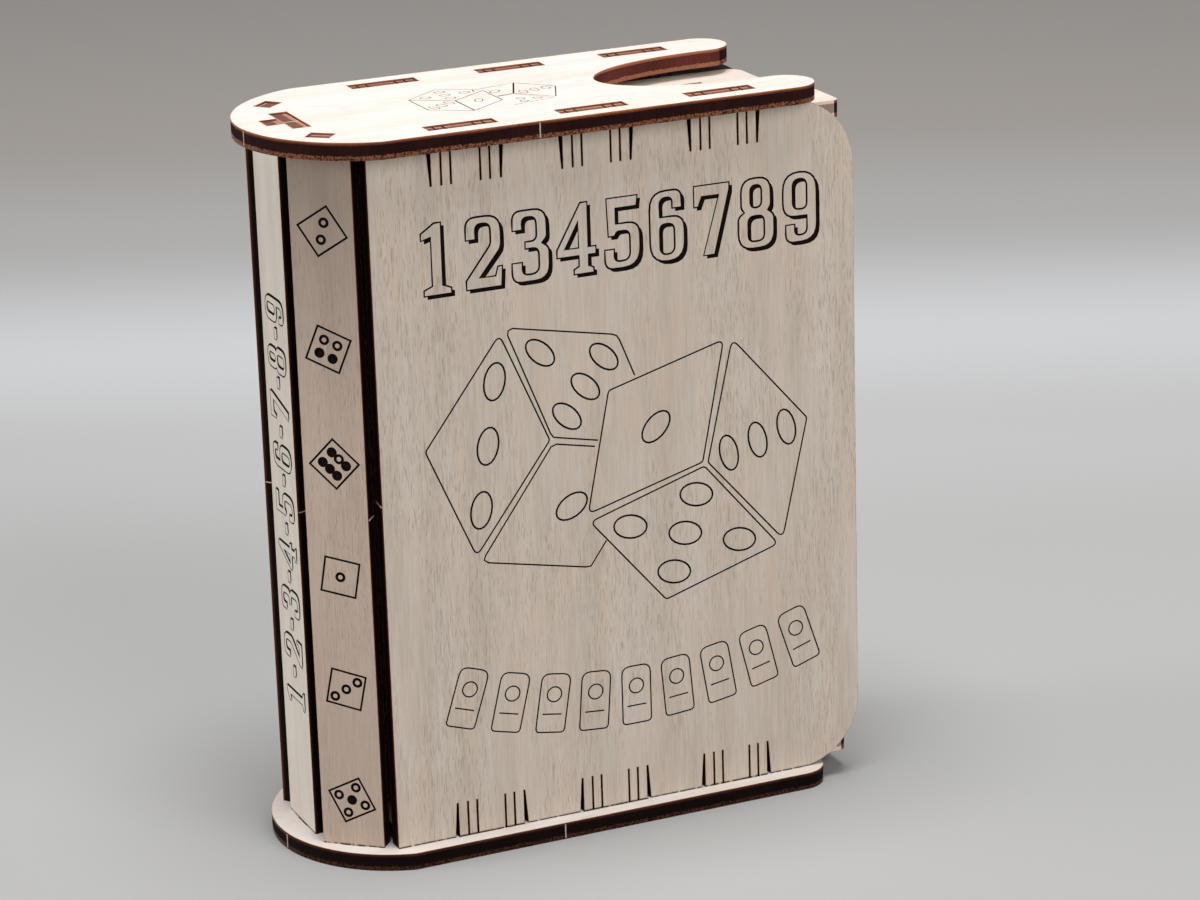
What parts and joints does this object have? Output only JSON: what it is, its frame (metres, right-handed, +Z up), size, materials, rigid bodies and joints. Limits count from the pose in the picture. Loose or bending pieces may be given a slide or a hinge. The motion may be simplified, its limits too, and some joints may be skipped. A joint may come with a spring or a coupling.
{
  "type": "shut the box game",
  "caption": "Book-shaped plywood game case: a slotted sleeve holds a sliding drawer with flip-down number tiles on a dowel and two dice.",
  "frame": {"origin": "centre of the bottom plate's underside, which is the middle of the overall box seen from above", "axes": "+Z up as the case stands like a book, +X towards the fore-edge where the drawer comes out, -Y out of the front cover"},
  "size_m": [0.1028, 0.044, 0.127],
  "materials": {
    "plate_ply": "sanded birch plywood, unsealed",
    "cover_ply": "sanded birch plywood, unsealed, grain upright",
    "drawer_ply": "sanded birch plywood, unsealed",
    "tile_ply": "sanded birch plywood with an engraved number",
    "dowel": "turned dowel",
    "die_white": "moulded white with dark pips"
  },
  "bodies": {
    "case": {"bottom_plate": "plate_ply", "top_plate": "plate_ply", "front_cover": "cover_ply", "back_cover": "cover_ply", "spine_strip_middle": "cover_ply", "spine_strip_near": "cover_ply", "spine_strip_far": "cover_ply", "spine_stiffener": "drawer_ply"},
    "drawer": {"drawer_bottom_wall": "drawer_ply", "drawer_top_wall": "drawer_ply", "drawer_spine_wall": "drawer_ply", "drawer_fore_edge_wall": "drawer_ply", "drawer_floor": "drawer_ply", "tile_rod": "dowel"},
    "tile_1": {"tile_1_face": "tile_ply", "tile_1_lower_ear": "tile_ply", "tile_1_upper_ear": "tile_ply"},
    "tile_2": {"tile_2_face": "tile_ply", "tile_2_lower_ear": "tile_ply", "tile_2_upper_ear": "tile_ply"},
    "tile_3": {"tile_3_face": "tile_ply", "tile_3_lower_ear": "tile_ply", "tile_3_upper_ear": "tile_ply"},
    "tile_4": {"tile_4_face": "tile_ply", "tile_4_lower_ear": "tile_ply", "tile_4_upper_ear": "tile_ply"},
    "tile_5": {"tile_5_face": "tile_ply", "tile_5_lower_ear": "tile_ply", "tile_5_upper_ear": "tile_ply"},
    "tile_6": {"tile_6_face": "tile_ply", "tile_6_lower_ear": "tile_ply", "tile_6_upper_ear": "tile_ply"},
    "tile_7": {"tile_7_face": "tile_ply", "tile_7_lower_ear": "tile_ply", "tile_7_upper_ear": "tile_ply"},
    "tile_8": {"tile_8_face": "tile_ply", "tile_8_lower_ear": "tile_ply", "tile_8_upper_ear": "tile_ply"},
    "tile_9": {"tile_9_face": "tile_ply", "tile_9_lower_ear": "tile_ply", "tile_9_upper_ear": "tile_ply"},
    "die_1": {"die_1": "die_white"},
    "die_2": {"die_2": "die_white"}
  },
  "joints": [
    {"name": "drawer_slide", "type": "slide", "parent": "case", "child": "drawer", "axis": [1, 0, 0], "range_m": [0, 0.084]},
    {"name": "tile_1_flip", "type": "hinge", "parent": "drawer", "child": "tile_1", "pos_m": [-0.02675, -0.0008, 0.01258], "axis": [0, 0, 1], "range_deg": [-26, 90]},
    {"name": "tile_2_flip", "type": "hinge", "parent": "drawer", "child": "tile_2", "pos_m": [-0.02675, -0.0008, 0.02513], "axis": [0, 0, 1], "range_deg": [-26, 90]},
    {"name": "tile_3_flip", "type": "hinge", "parent": "drawer", "child": "tile_3", "pos_m": [-0.02675, -0.0008, 0.03769], "axis": [0, 0, 1], "range_deg": [-26, 90]},
    {"name": "tile_4_flip", "type": "hinge", "parent": "drawer", "child": "tile_4", "pos_m": [-0.02675, -0.0008, 0.05024], "axis": [0, 0, 1], "range_deg": [-26, 90]},
    {"name": "tile_5_flip", "type": "hinge", "parent": "drawer", "child": "tile_5", "pos_m": [-0.02675, -0.0008, 0.0628], "axis": [0, 0, 1], "range_deg": [-26, 90]},
    {"name": "tile_6_flip", "type": "hinge", "parent": "drawer", "child": "tile_6", "pos_m": [-0.02675, -0.0008, 0.07536], "axis": [0, 0, 1], "range_deg": [-26, 90]},
    {"name": "tile_7_flip", "type": "hinge", "parent": "drawer", "child": "tile_7", "pos_m": [-0.02675, -0.0008, 0.08791], "axis": [0, 0, 1], "range_deg": [-26, 90]},
    {"name": "tile_8_flip", "type": "hinge", "parent": "drawer", "child": "tile_8", "pos_m": [-0.02675, -0.0008, 0.10047], "axis": [0, 0, 1], "range_deg": [-26, 90]},
    {"name": "tile_9_flip", "type": "hinge", "parent": "drawer", "child": "tile_9", "pos_m": [-0.02675, -0.0008, 0.11302], "axis": [0, 0, 1], "range_deg": [-26, 90]},
    {"name": "die_1_roll", "type": "slide", "parent": "drawer", "child": "die_1", "axis": [1, 0, 0], "range_m": [-0.01, 0.002]},
    {"name": "die_2_roll", "type": "slide", "parent": "drawer", "child": "die_2", "axis": [1, 0, 0], "range_m": [-0.002, 0.01]}
  ]
}
